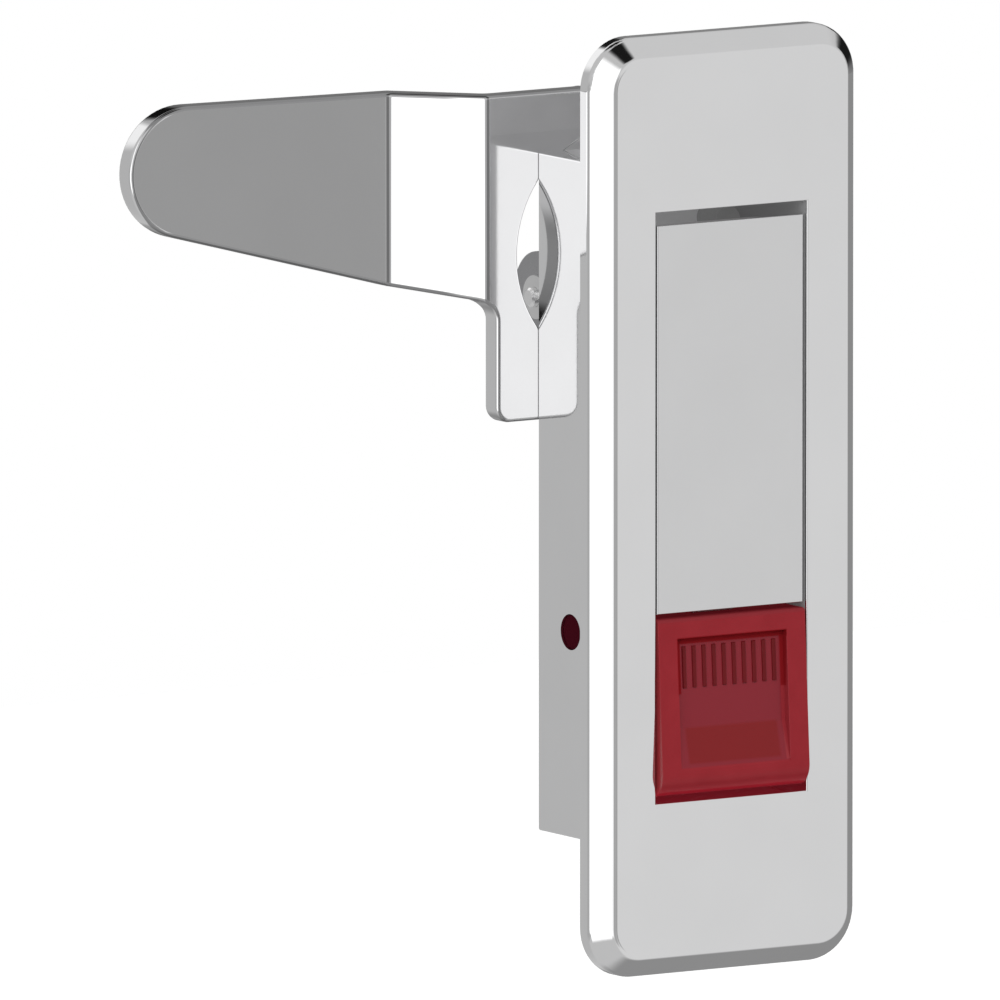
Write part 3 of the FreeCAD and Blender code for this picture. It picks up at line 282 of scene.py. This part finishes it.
def glow(shader, colour, strength):
    """A faint light of its own, so that a deep place doesn't go black; strength is a socket."""
    shader.inputs["Emission Color"].default_value = (*colour, 1)
    shader.id_data.links.new(strength, shader.inputs["Emission Strength"])


def choose_shader(tree, choice, first, second):
    """The first shader where the choice is 0, the second where it is 1."""
    mix = add(tree, "ShaderNodeMixShader")
    tree.links.new(choice, mix.inputs["Fac"])
    tree.links.new(first.outputs[0], mix.inputs[1])
    tree.links.new(second.outputs[0], mix.inputs[2])
    return mix


# Finishes, some with painted light and painted shade


def metal(name, colour, roughness, swing, bump):
    """A metal with faint tone and gloss variation."""
    material, tree, output = new_tree(name)
    deeper = tuple(c * (1 - swing) for c in colour)
    lighter = tuple(c * (1 + swing) for c in colour)
    base = mix_colour(tree, spread(tree, noise(tree, 90.0, 4.0)), deeper, lighter)
    fine = noise(tree, 2600.0, 3.0, 0.6)
    gloss = spread(tree, fine, roughness * 0.85, roughness * 1.2)
    shader = principled(tree, base, 1.0, gloss)
    raise_grain(tree, shader, fine, bump, 0.02 * MM)
    link(tree, shader, "BSDF", output, "Surface")
    return material


def plastic(name, colour, roughness, swing, specular=0.5, bump=0.1, painted_glow=0.0):
    """A plastic, rubber or matt casting with faint tone and gloss variation, and an optional even
    glow of its own: painted light that keeps it from going dark in shade.
    """
    material, tree, output = new_tree(name)
    deeper = tuple(c * (1 - swing) for c in colour)
    lighter = tuple(c * (1 + swing) for c in colour)
    base = mix_colour(tree, spread(tree, noise(tree, 400.0, 3.0)), deeper, lighter)
    fine = noise(tree, 3000.0, 2.0)
    gloss = spread(tree, fine, roughness * 0.85, roughness * 1.15)
    shader = principled(tree, base, 0.0, gloss)
    shader.inputs["Specular IOR Level"].default_value = specular
    # Painted light: an even glow of the given strength
    shader.inputs["Emission Color"].default_value = (1, 1, 1, 1)
    shader.inputs["Emission Strength"].default_value = painted_glow
    if bump:
        raise_grain(tree, shader, fine, bump, 0.03 * MM)
    link(tree, shader, "BSDF", output, "Surface")
    return material


def bright_chrome(tree, level, roughness):
    """Polished chrome with a faint drift in tone and gloss. Also gives back the drift and the
    fine noise, for a duller finish beside it."""
    drift = spread(tree, noise(tree, 90.0, 4.0))
    base = mix_colour(tree, drift, (level - 0.01, level - 0.01, level - 0.005),
                      (level + 0.01, level + 0.01, level + 0.015))
    fine = noise(tree, 2600.0, 3.0, 0.6)
    gloss = spread(tree, fine, roughness * 0.85, roughness * 1.15)
    return principled(tree, base, 1.0, gloss), drift, fine


def dull_cast_with_painted_glow(tree, drift, fine, normal):
    """The matt grey of an unpolished casting, with painted shade on the walls that face left or
    right and a faint painted glow, weaker on those walls.
    """
    # Painted shade: walls that face left or right are darker
    side_shade = ramp(tree, absolute(tree, normal[0]), 0.7, 0.9)
    cast = mix_colour(tree, drift, (0.60, 0.60, 0.61), (0.68, 0.68, 0.69))
    cast = mix_colour(tree, side_shade, cast, (0.32, 0.32, 0.325))
    glowing_dull = principled(tree, cast, 0.2, spread(tree, fine, 0.42, 0.55))
    # Painted light: a faint even glow, weaker on the walls that face left or right
    glow(glowing_dull, (1, 1, 1), calc(tree, "SUBTRACT", 0.085, times(tree, side_shade, 0.05)))
    return glowing_dull


def housing_finish():
    """Bright chrome outside; a duller cast finish, with painted glow and painted shade, inside the
    box and behind the face plate.
    """
    material, tree, output = new_tree("housing_chrome")
    chrome, drift, fine = bright_chrome(tree, 0.90, 0.06)
    normal = axes(tree, "Normal")
    glowing_dull = dull_cast_with_painted_glow(tree, drift, fine, normal)
    across, back, up = axes(tree)
    inside = times(tree, under(tree, absolute(tree, across), CAVITY_HALF, 0.05),
                   between(tree, up, CAVITY_LOW, CAVITY_HIGH, 0.05))
    inside = times(tree, inside, between(tree, back, CAVITY_FRONT, CAVITY_REAR, 0.05))
    rearward = ramp(tree, normal[1], 0.7, 0.9)
    finish = choose_shader(tree, either(tree, inside, rearward), chrome, glowing_dull)
    link(tree, finish, "Shader", output, "Surface")
    return material


def flap_finish():
    """Satin chrome on the flap's front; the cast finish, with painted glow and painted shade, on
    its back, its lugs and its ribs.
    """
    material, tree, output = new_tree("flap_chrome")
    chrome, drift, fine = bright_chrome(tree, 0.83, 0.09)
    glowing_dull = dull_cast_with_painted_glow(tree, drift, fine, axes(tree, "Normal"))
    finish = choose_shader(tree, past(tree, axes(tree)[1], FLAP_BACK), chrome, glowing_dull)
    link(tree, finish, "Shader", output, "Surface")
    return material


def tongue_finish():
    """Chromed sheet with painted shade: a darker grey metal on its bends and on its cut edges, by
    the way their faces turn, apart from the nose's end and the hole."""
    material, tree, output = new_tree("tongue_chrome")
    chrome, drift, fine = bright_chrome(tree, 0.88, 0.06)
    normal = axes(tree, "Normal")
    tilt = absolute(tree, normal[2])
    across, back, up = axes(tree)
    in_hole = times(tree, under(tree, absolute(tree, across), HOLE_HALF, 0.2),
                    between(tree, up, HOLE_LOW, HOLE_HIGH, 0.2))
    at_nose = times(tree, past(tree, across, NOSE), 0.8)
    at_plate = past(tree, across, PLATE)
    arm_edge = ramp(tree, calc(tree, "SUBTRACT", tilt, at_nose), 0.02, 0.10)
    plate_edge = ramp(tree, tilt, 0.2, 0.7)
    edge = calc(tree, "ADD", times(tree, plate_edge, at_plate),
                times(tree, arm_edge, opposite(tree, at_plate)))
    bend = times(tree, ramp(tree, normal[0], -0.14, -0.26), ramp(tree, normal[0], -0.70, -0.62))
    # Painted shade: a darker grey metal on the bends and on the cut edges' faces turned up or down
    painted_shade_faces = times(tree, either(tree, edge, bend), opposite(tree, in_hole))
    grey = mix_colour(tree, drift, (0.36, 0.36, 0.365), (0.40, 0.40, 0.405))
    finish = choose_shader(tree, painted_shade_faces, chrome, principled(tree, grey, 1.0, 0.08))
    link(tree, finish, "Shader", output, "Surface")
    return material


def yoke_finish():
    """Bare steel, with the plate's own chrome and a faint painted glow on the strap's upper end.
    """
    material, tree, output = new_tree("yoke_steel")
    chrome, drift, fine = bright_chrome(tree, 0.88, 0.06)
    bare = mix_colour(tree, drift, (0.395, 0.395, 0.405), (0.445, 0.445, 0.455))
    steel = principled(tree, bare, 1.0, spread(tree, fine, 0.255, 0.36))
    upper = past(tree, axes(tree)[2], STRAP_END)
    # Painted light: the chrome upper end glows faintly
    glow(chrome, (1, 1, 1), times(tree, upper, 0.06))
    finish = choose_shader(tree, upper, steel, chrome)
    link(tree, finish, "Shader", output, "Surface")
    return material


def red_plastic():
    """Glossy red moulding with painted shade in the dish, on the pivots' ends and on the top, and
    painted light on the cheeks, the dish's right wall and the chin.
    """
    material, tree, output = new_tree("red_plastic")
    across, back, up = axes(tree)
    side = absolute(tree, across)
    # Painted shade: the dish is darker than the face, and darker still low in the dish where its
    # floor turns
    dish = times(tree, under(tree, side, DISH_HALF - 0.2, 0.25),
                 between(tree, up, DISH_LOW, DISH_HIGH - 0.1, 0.3))
    low_dish = times(tree, under(tree, side, DISH_HALF - 1.6, 0.6),
                     between(tree, up, DISH_LOW + 0.6, DISH_LOW + 4.6, 0.5))
    # Painted light: the dish's right wall is a paler red, apart from its rear part
    right_wall = times(tree, between(tree, across, DISH_HALF - 0.45, DISH_HALF + 0.02, 0.1),
                       between(tree, up, DISH_LOW, DISH_HIGH, 0.05))
    # Painted shade: dark bands along the dish's top wall and down its side walls
    head_wall = times(tree, under(tree, side, DISH_HALF, 0.1),
                      between(tree, up, DISH_HIGH - 0.75, DISH_HIGH, 0.2))
    side_walls = either(tree, times(tree, right_wall, past(tree, back, REAR_OF_WALL)),
                        between(tree, across, -DISH_HALF - 0.02, -DISH_HALF + 0.85, 0.15))
    high_walls = times(tree, side_walls, between(tree, up, DISH_HIGH - 7.15, DISH_HIGH, 0.05))
    shaded = either(tree, head_wall, high_walls)
    # Painted light: the cheeks are a lighter red
    cheeks = past(tree, side, CHEEKS)
    # Painted shade: the pivots' ends and the button's top are darker
    pivots = past(tree, side, PIVOTS)
    top = past(tree, up, BUTTON_TOP)
    base = mix_colour(tree, spread(tree, noise(tree, 260.0, 3.0)), (0.272, 0.010, 0.017),
                      (0.30, 0.013, 0.021))
    for place, colour in (
            (dish, (0.235, 0.016, 0.026)),
            (low_dish, (0.215, 0.009, 0.011)),
            (right_wall, (0.30, 0.026, 0.034)),
            (shaded, (0.225, 0.009, 0.012)),
            (cheeks, (0.31, 0.03, 0.036)),
            (pivots, (0.055, 0.0045, 0.0095)),
            (top, (0.20, 0.026, 0.031))):
        base = mix_colour(tree, place, base, colour)
    shader = principled(tree, base, 0.0, spread(tree, noise(tree, 2400.0, 2.0), 0.16, 0.22))
    # Painted shade: no specular highlight on the top, the pivots' ends and the shaded bands
    painted_shade_places = either(tree, either(tree, top, pivots), shaded)
    tree.links.new(times(tree, opposite(tree, painted_shade_places), 0.25),
                   shader.inputs["Specular IOR Level"])
    # Painted light: a faint dark red glow on the chin, and half of it on the top
    deep = either(tree, past(tree, up, CHIN), times(tree, top, 0.5))
    glow(shader, (0.10, 0.0055, 0.0095), deep)
    link(tree, shader, "BSDF", output, "Surface")
    return material


TONGUE_CHROME = tongue_finish()
ZINC_PLATED = metal("zinc_plated_steel", (0.80, 0.80, 0.80), 0.34, 0.05, bump=0.2)
PLAIN_STEEL = metal("plain_steel", (0.58, 0.58, 0.59), 0.30, 0.06, bump=0.3)
SPRING_STEEL = metal("spring_steel", (0.42, 0.42, 0.43), 0.3, 0.08, bump=0.3)
# Painted light: the cast zinc parts glow faintly, so that the rotor deep in the box doesn't go
# black
CAST_ZINC = plastic("cast_zinc", (0.40, 0.40, 0.41), 0.45, 0.04, painted_glow=0.09)
RIB_RED = plastic("rib_red", (0.135, 0.004, 0.006), 0.35, 0.05, specular=0.2, bump=0.0)

FINISHES = {
    "face_housing": housing_finish(),
    "flap_handle": flap_finish(),
    "push_button": red_plastic(),
    "tongue": TONGUE_CHROME,
    "mounting_studs": ZINC_PLATED,
    "flap_hinge_pin": PLAIN_STEEL,
    "drive_ball_pin": CAST_ZINC,
    "flap_striker": PLAIN_STEEL,
    "striker_screw": PLAIN_STEEL,
    "catch_spring_rivet": PLAIN_STEEL,
    "rotor": CAST_ZINC,
    "shaft_spacer": PLAIN_STEEL,
    "tongue_yoke": yoke_finish(),
    "yoke_cross_pin": metal("bright_steel", (0.90, 0.90, 0.90), 0.20, 0.04, bump=0.2),
    "cross_pin_clips": ZINC_PLATED,
    "yoke_rivets": PLAIN_STEEL,
    "button_return_spring": SPRING_STEEL,
    "flap_torsion_spring": SPRING_STEEL,
    "catch_spring": SPRING_STEEL,
    "rotor_bush": metal("bronze", (0.62, 0.40, 0.20), 0.35, 0.1, bump=0.5),
    # Painted light: the rubber buffers glow faintly
    "flap_stop_buffers": plastic("grey_rubber", (0.20, 0.20, 0.20), 0.6, 0.1, painted_glow=0.07),
    "friction_washer": plastic("nylon", (0.72, 0.69, 0.61), 0.45, 0.05),
}


def dress(thing, material):
    """Gives an object one material."""
    thing.data.materials.clear()
    thing.data.materials.append(material)


for name, material in FINISHES.items():
    dress(nodes[name], material)


# Pieces built over the frame


def weighted_normals(mesh, limit):
    """Smooth normals in which large faces outweigh small ones, so that flat faces stay flat.
    Faces that meet at more than the limit keep a sharp edge."""
    around = [[] for _ in mesh.vertices]
    for face in mesh.polygons:
        for index in face.vertices:
            around[index].append(face)
    normals = []
    for face in mesh.polygons:
        for index in face.vertices:
            total = Vector()
            for other in around[index]:
                if other.normal.dot(face.normal) > math.cos(limit):
                    total += other.normal * other.area
            normals.append(total.normalized())
    mesh.normals_split_custom_set(normals)


def mesh_piece(name, work, material, body, smooth=35):
    """An object from a bmesh, riding on a body, smooth up to an angle in degrees."""
    mesh = bpy.data.meshes.new(name)
    work.to_mesh(mesh)
    work.free()
    mesh.shade_smooth()
    weighted_normals(mesh, math.radians(smooth))
    piece = bpy.data.objects.new(name, mesh)
    bpy.context.collection.objects.link(piece)
    dress(piece, material)
    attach(piece, body)
    return piece


FLAT_ANGLE = math.radians(0.6)
SHARP_ANGLE = math.radians(38)


def softened_copy(node, name, width, body, material):
    """A copy of a node's shape with its sharp edges rounded, shown in its place."""
    work = bmesh.new()
    work.from_mesh(nodes[node].data)
    bmesh.ops.remove_doubles(work, verts=work.verts, dist=1e-6)
    bmesh.ops.dissolve_limit(work, angle_limit=FLAT_ANGLE, verts=work.verts, edges=work.edges)
    sharp = [e for e in work.edges
             if len(e.link_faces) == 2 and e.calc_face_angle(0) > SHARP_ANGLE]
    bmesh.ops.bevel(work, geom=sharp, offset=width, segments=4, profile=0.5, affect="EDGES",
                    clamp_overlap=False, miter_outer="SHARP")
    piece = mesh_piece(name, work, material, body)
    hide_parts(node)


softened_copy("tongue", "tongue_sheet", CUT_EDGE_ROUND * MM, "tongue",
              TONGUE_CHROME)


def make_button_ribs():
    """Upright grip ribs in the upper part of the button's dish, along its sloping floor."""
    work = bmesh.new()
    fronts = set()
    for number in range(RIB_COUNT):
        middle = (number - (RIB_COUNT - 1) / 2) * RIB_PITCH
        spots = []
        for across in (middle - RIB_HALF, middle + RIB_HALF):
            for depth in (-RIB_PROUD, RIB_SUNK):
                for up in (RIB_LOW, RIB_HIGH):
                    dish_floor = DISH_FLOOR_AT_TOP + (up - DISH_HIGH) * DISH_FLOOR_SLOPE
                    spot = work.verts.new(Vector((across, dish_floor + depth, up)) * MM)
                    spots.append(spot)
                    if depth < 0:
                        fronts.add(spot)
        for corners in ((0, 1, 3, 2), (4, 6, 7, 5), (0, 4, 5, 1), (2, 3, 7, 6), (0, 2, 6, 4),
                        (1, 5, 7, 3)):
            work.faces.new([spots[corner] for corner in corners])
    edges = [e for e in work.edges if all(v in fronts for v in e.verts)]
    bmesh.ops.bevel(work, geom=edges, offset=RIB_ROUND * MM, segments=3, profile=0.5,
                    affect="EDGES", clamp_overlap=True)
    bmesh.ops.recalc_face_normals(work, faces=work.faces)
    mesh_piece("button_ribs", work, RIB_RED, "button")


make_button_ribs()


def thread_radius(back, turn):
    """The stud's radius at a place along it and a share of a turn about it."""
    phase = (back / THREAD_PITCH - turn) % 1.0
    radius = STUD_RADIUS - THREAD_DEPTH * abs(2 * phase - 1)
    past_chamfer = back - (STUD_LENGTH - STUD_CHAMFER)
    return min(radius, STUD_RADIUS - past_chamfer) if past_chamfer > 0 else radius


def make_threaded_studs():
    """Both studs with their thread, whose crests are at the stud's radius, and a plain foot
    sunk in the face plate."""
    work = bmesh.new()
    rows = int(STUD_LENGTH / THREAD_PITCH * THREAD_ROWS_PER_TURN)
    for height in STUD_HEIGHTS:
        rings = []
        for row in range(rows + 1):
            back = STUD_LENGTH * row / rows
            ring = []
            for spoke in range(THREAD_SPOKES):
                turn = spoke / THREAD_SPOKES
                radius = thread_radius(back, turn)
                angle = 2 * math.pi * turn
                ring.append(work.verts.new((radius * math.cos(angle) * MM, back * MM,
                                            (height + radius * math.sin(angle)) * MM)))
            rings.append(ring)
        for lower, upper in zip(rings, rings[1:]):
            for spoke in range(THREAD_SPOKES):
                after = (spoke + 1) % THREAD_SPOKES
                work.faces.new((lower[spoke], lower[after], upper[after], upper[spoke]))
        work.faces.new(rings[-1])
        work.faces.new(list(reversed(rings[0])))
        place = (Matrix.Translation(Vector((0, -FOOT_LENGTH / 2, height)) * MM)
                 @ Matrix.Rotation(math.radians(90), 4, "X"))
        bmesh.ops.create_cone(work, cap_ends=True, segments=48, radius1=FOOT_RADIUS * MM,
                              radius2=FOOT_RADIUS * MM, depth=FOOT_LENGTH * MM, matrix=place)
    bmesh.ops.recalc_face_normals(work, faces=work.faces)
    piece = mesh_piece("threaded_studs", work, ZINC_PLATED, "housing", 25)
    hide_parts("mounting_studs")


make_threaded_studs()


def spring_copy(node, name):
    """A copy of a spring's shape, shown in its place."""
    piece = bpy.data.objects.new(name, nodes[node].data.copy())
    bpy.context.collection.objects.link(piece)
    dress(piece, SPRING_STEEL)
    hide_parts(node)
    return piece


def make_springs():
    """Copies of the springs: the button's spring rides on the housing with a mesh of its own, and
    the flap's spring has its placement baked into its mesh."""
    pressed = spring_copy("button_return_spring", "button_spring_coil")
    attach(pressed, "housing")
    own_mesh(pressed)
    twisted = spring_copy("flap_torsion_spring", "flap_spring_coil")
    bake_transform(twisted)


make_springs()


# Studio: soft cards all around, seen only in reflections and as light

CARDS = [
    # (direction, full to this angle, gone at this angle, radiance), and what shows the card
    ((0.532, -0.835, -0.137), 40, 60, 0.69),   # front faces
    ((0.532, -0.137, 0.835), 20, 40, 0.62),    # top bevel
    ((0.532, 0.835, 0.05), 18, 36, 0.20),      # upper edges
    ((-0.532, 0.835, -0.137), 25, 50, 0.48),   # left sides
    ((0.835, 0.532, -0.137), 15, 40, 0.27),    # right bevel
    ((0.532, 0.137, -0.835), 25, 50, 0.28),    # bottom bevel
    ((0.379, -0.914, -0.137), 5, 9, 0.34),     # the tongue's arm
    ((-0.86, -0.49, -0.137), 14, 24, 1.40),    # left bevel and the tongue's step
    ((-0.532, -0.835, -0.137), 10, 18, 1.05),  # the tongue's plate, by way of the box
    ((-0.62, -0.60, 0.40), 18, 30, 1.30),      # upper left corner
    ((-0.10, -0.985, -0.137), 14, 24, 0.40),   # edge between the face and the left bevel
    ((-0.97, 0.2, -0.137), 12, 24, 0.42),      # edge between the left bevel and the rim
    ((-0.137, 0.835, 0.532), 14, 26, 0.95),    # upper left of the nose's edge
    ((0.03, -0.34, 0.94), 8, 18, 0.01),        # the last four: dark streaks at the corners
    ((0.0, 0.30, 0.95), 10, 20, 0.01),
    ((0.87, 0.44, 0.19), 9, 20, 0.01),
    ((0.27, 0.82, 0.50), 8, 16, 0.01),
]
BASE_RADIANCE = 0.55


def make_world():
    """The cards for reflections and light, and plain white for the camera."""
    world = bpy.data.worlds.new("studio")
    bpy.context.scene.world = world
    world.use_nodes = True
    tree = world.node_tree
    tree.nodes.clear()
    output = add(tree, "ShaderNodeOutputWorld")
    where = add(tree, "ShaderNodeTexCoord")
    level = add(tree, "ShaderNodeValue")
    level.outputs[0].default_value = BASE_RADIANCE
    current = level.outputs[0]
    for direction, full, gone, radiance in CARDS:
        facing = add(tree, "ShaderNodeVectorMath", operation="DOT_PRODUCT")
        link(tree, where, "Generated", facing, 0)
        facing.inputs[1].default_value = Vector(direction).normalized()
        weight = ramp(tree, facing.outputs["Value"], math.cos(math.radians(gone)),
                      math.cos(math.radians(full)))
        blend = add(tree, "ShaderNodeMix", data_type="FLOAT", in_B=radiance)
        tree.links.new(weight, blend.inputs["Factor"])
        tree.links.new(current, blend.inputs["A"])
        current = blend.outputs["Result"]
    studio = add(tree, "ShaderNodeBackground", in_Color=(1, 1, 1, 1))
    tree.links.new(current, studio.inputs["Strength"])
    white = add(tree, "ShaderNodeBackground", in_Color=(1, 1, 1, 1), in_Strength=1.0)
    path = add(tree, "ShaderNodeLightPath")
    shown = choose_shader(tree, path.outputs["Is Camera Ray"], studio, white)
    link(tree, shown, "Shader", output, "Surface")


make_world()


def make_floor():
    """A pale floor below the held lock; mirror reflections look through it."""
    material, tree, output = new_tree("floor_pale")
    diffuse = add(tree, "ShaderNodeBsdfDiffuse", in_Color=(0.8, 0.8, 0.8, 1), in_Roughness=0.2)
    lift = add(tree, "ShaderNodeEmission", in_Strength=0.55)
    lit = add(tree, "ShaderNodeAddShader")
    link(tree, diffuse, 0, lit, 0)
    link(tree, lift, 0, lit, 1)
    clear = add(tree, "ShaderNodeBsdfTransparent")
    path = add(tree, "ShaderNodeLightPath")
    seen = choose_shader(tree, path.outputs["Is Camera Ray"], diffuse, lit)
    shown = choose_shader(tree, path.outputs["Is Glossy Ray"], seen, clear)
    link(tree, shown, "Shader", output, "Surface")
    mesh = bpy.data.meshes.new("floor")
    level = cad_box[0].z - FLOOR_DROP
    corners = [(x * FLOOR_HALF, y * FLOOR_HALF, level)
               for x, y in ((-1, -1), (1, -1), (1, 1), (-1, 1))]
    mesh.from_pydata(corners, [], [(0, 1, 2, 3)])
    floor = bpy.data.objects.new("floor", mesh)
    bpy.context.collection.objects.link(floor)
    dress(floor, material)


make_floor()


def make_lamp():
    """A large soft lamp to the upper left in front, not seen in reflections."""
    data = bpy.data.lights.new("softbox", "AREA")
    data.shape = "RECTANGLE"
    data.size = data.size_y = LAMP_SIZE
    data.energy = LAMP_POWER
    lamp = bpy.data.objects.new("softbox", data)
    lamp.visible_glossy = False
    lamp.location = LAMP_PLACE
    lamp.rotation_mode = "QUATERNION"
    lamp.rotation_quaternion = (-lamp.location).to_track_quat("-Z", "Y")
    bpy.context.collection.objects.link(lamp)


make_lamp()


def make_camera():
    """A camera so far off that its picture has the view's width at the target."""
    side, above = math.radians(VIEW_SIDE), math.radians(VIEW_ABOVE)
    along = Vector((math.sin(side) * math.cos(above), math.cos(side) * math.cos(above),
                    -math.sin(above)))
    data = bpy.data.cameras.new("camera")
    data.lens = LENS
    data.sensor_width = SENSOR
    distance = VIEW_WIDTH * LENS / SENSOR
    data.clip_start = 0.1
    data.clip_end = distance * 3
    camera = bpy.data.objects.new("camera", data)
    camera.location = VIEW_TARGET - along * distance
    camera.rotation_mode = "QUATERNION"
    camera.rotation_quaternion = along.to_track_quat("-Z", "Y")
    bpy.context.collection.objects.link(camera)
    bpy.context.scene.camera = camera


make_camera()
bpy.context.scene.view_settings.view_transform = "Standard"
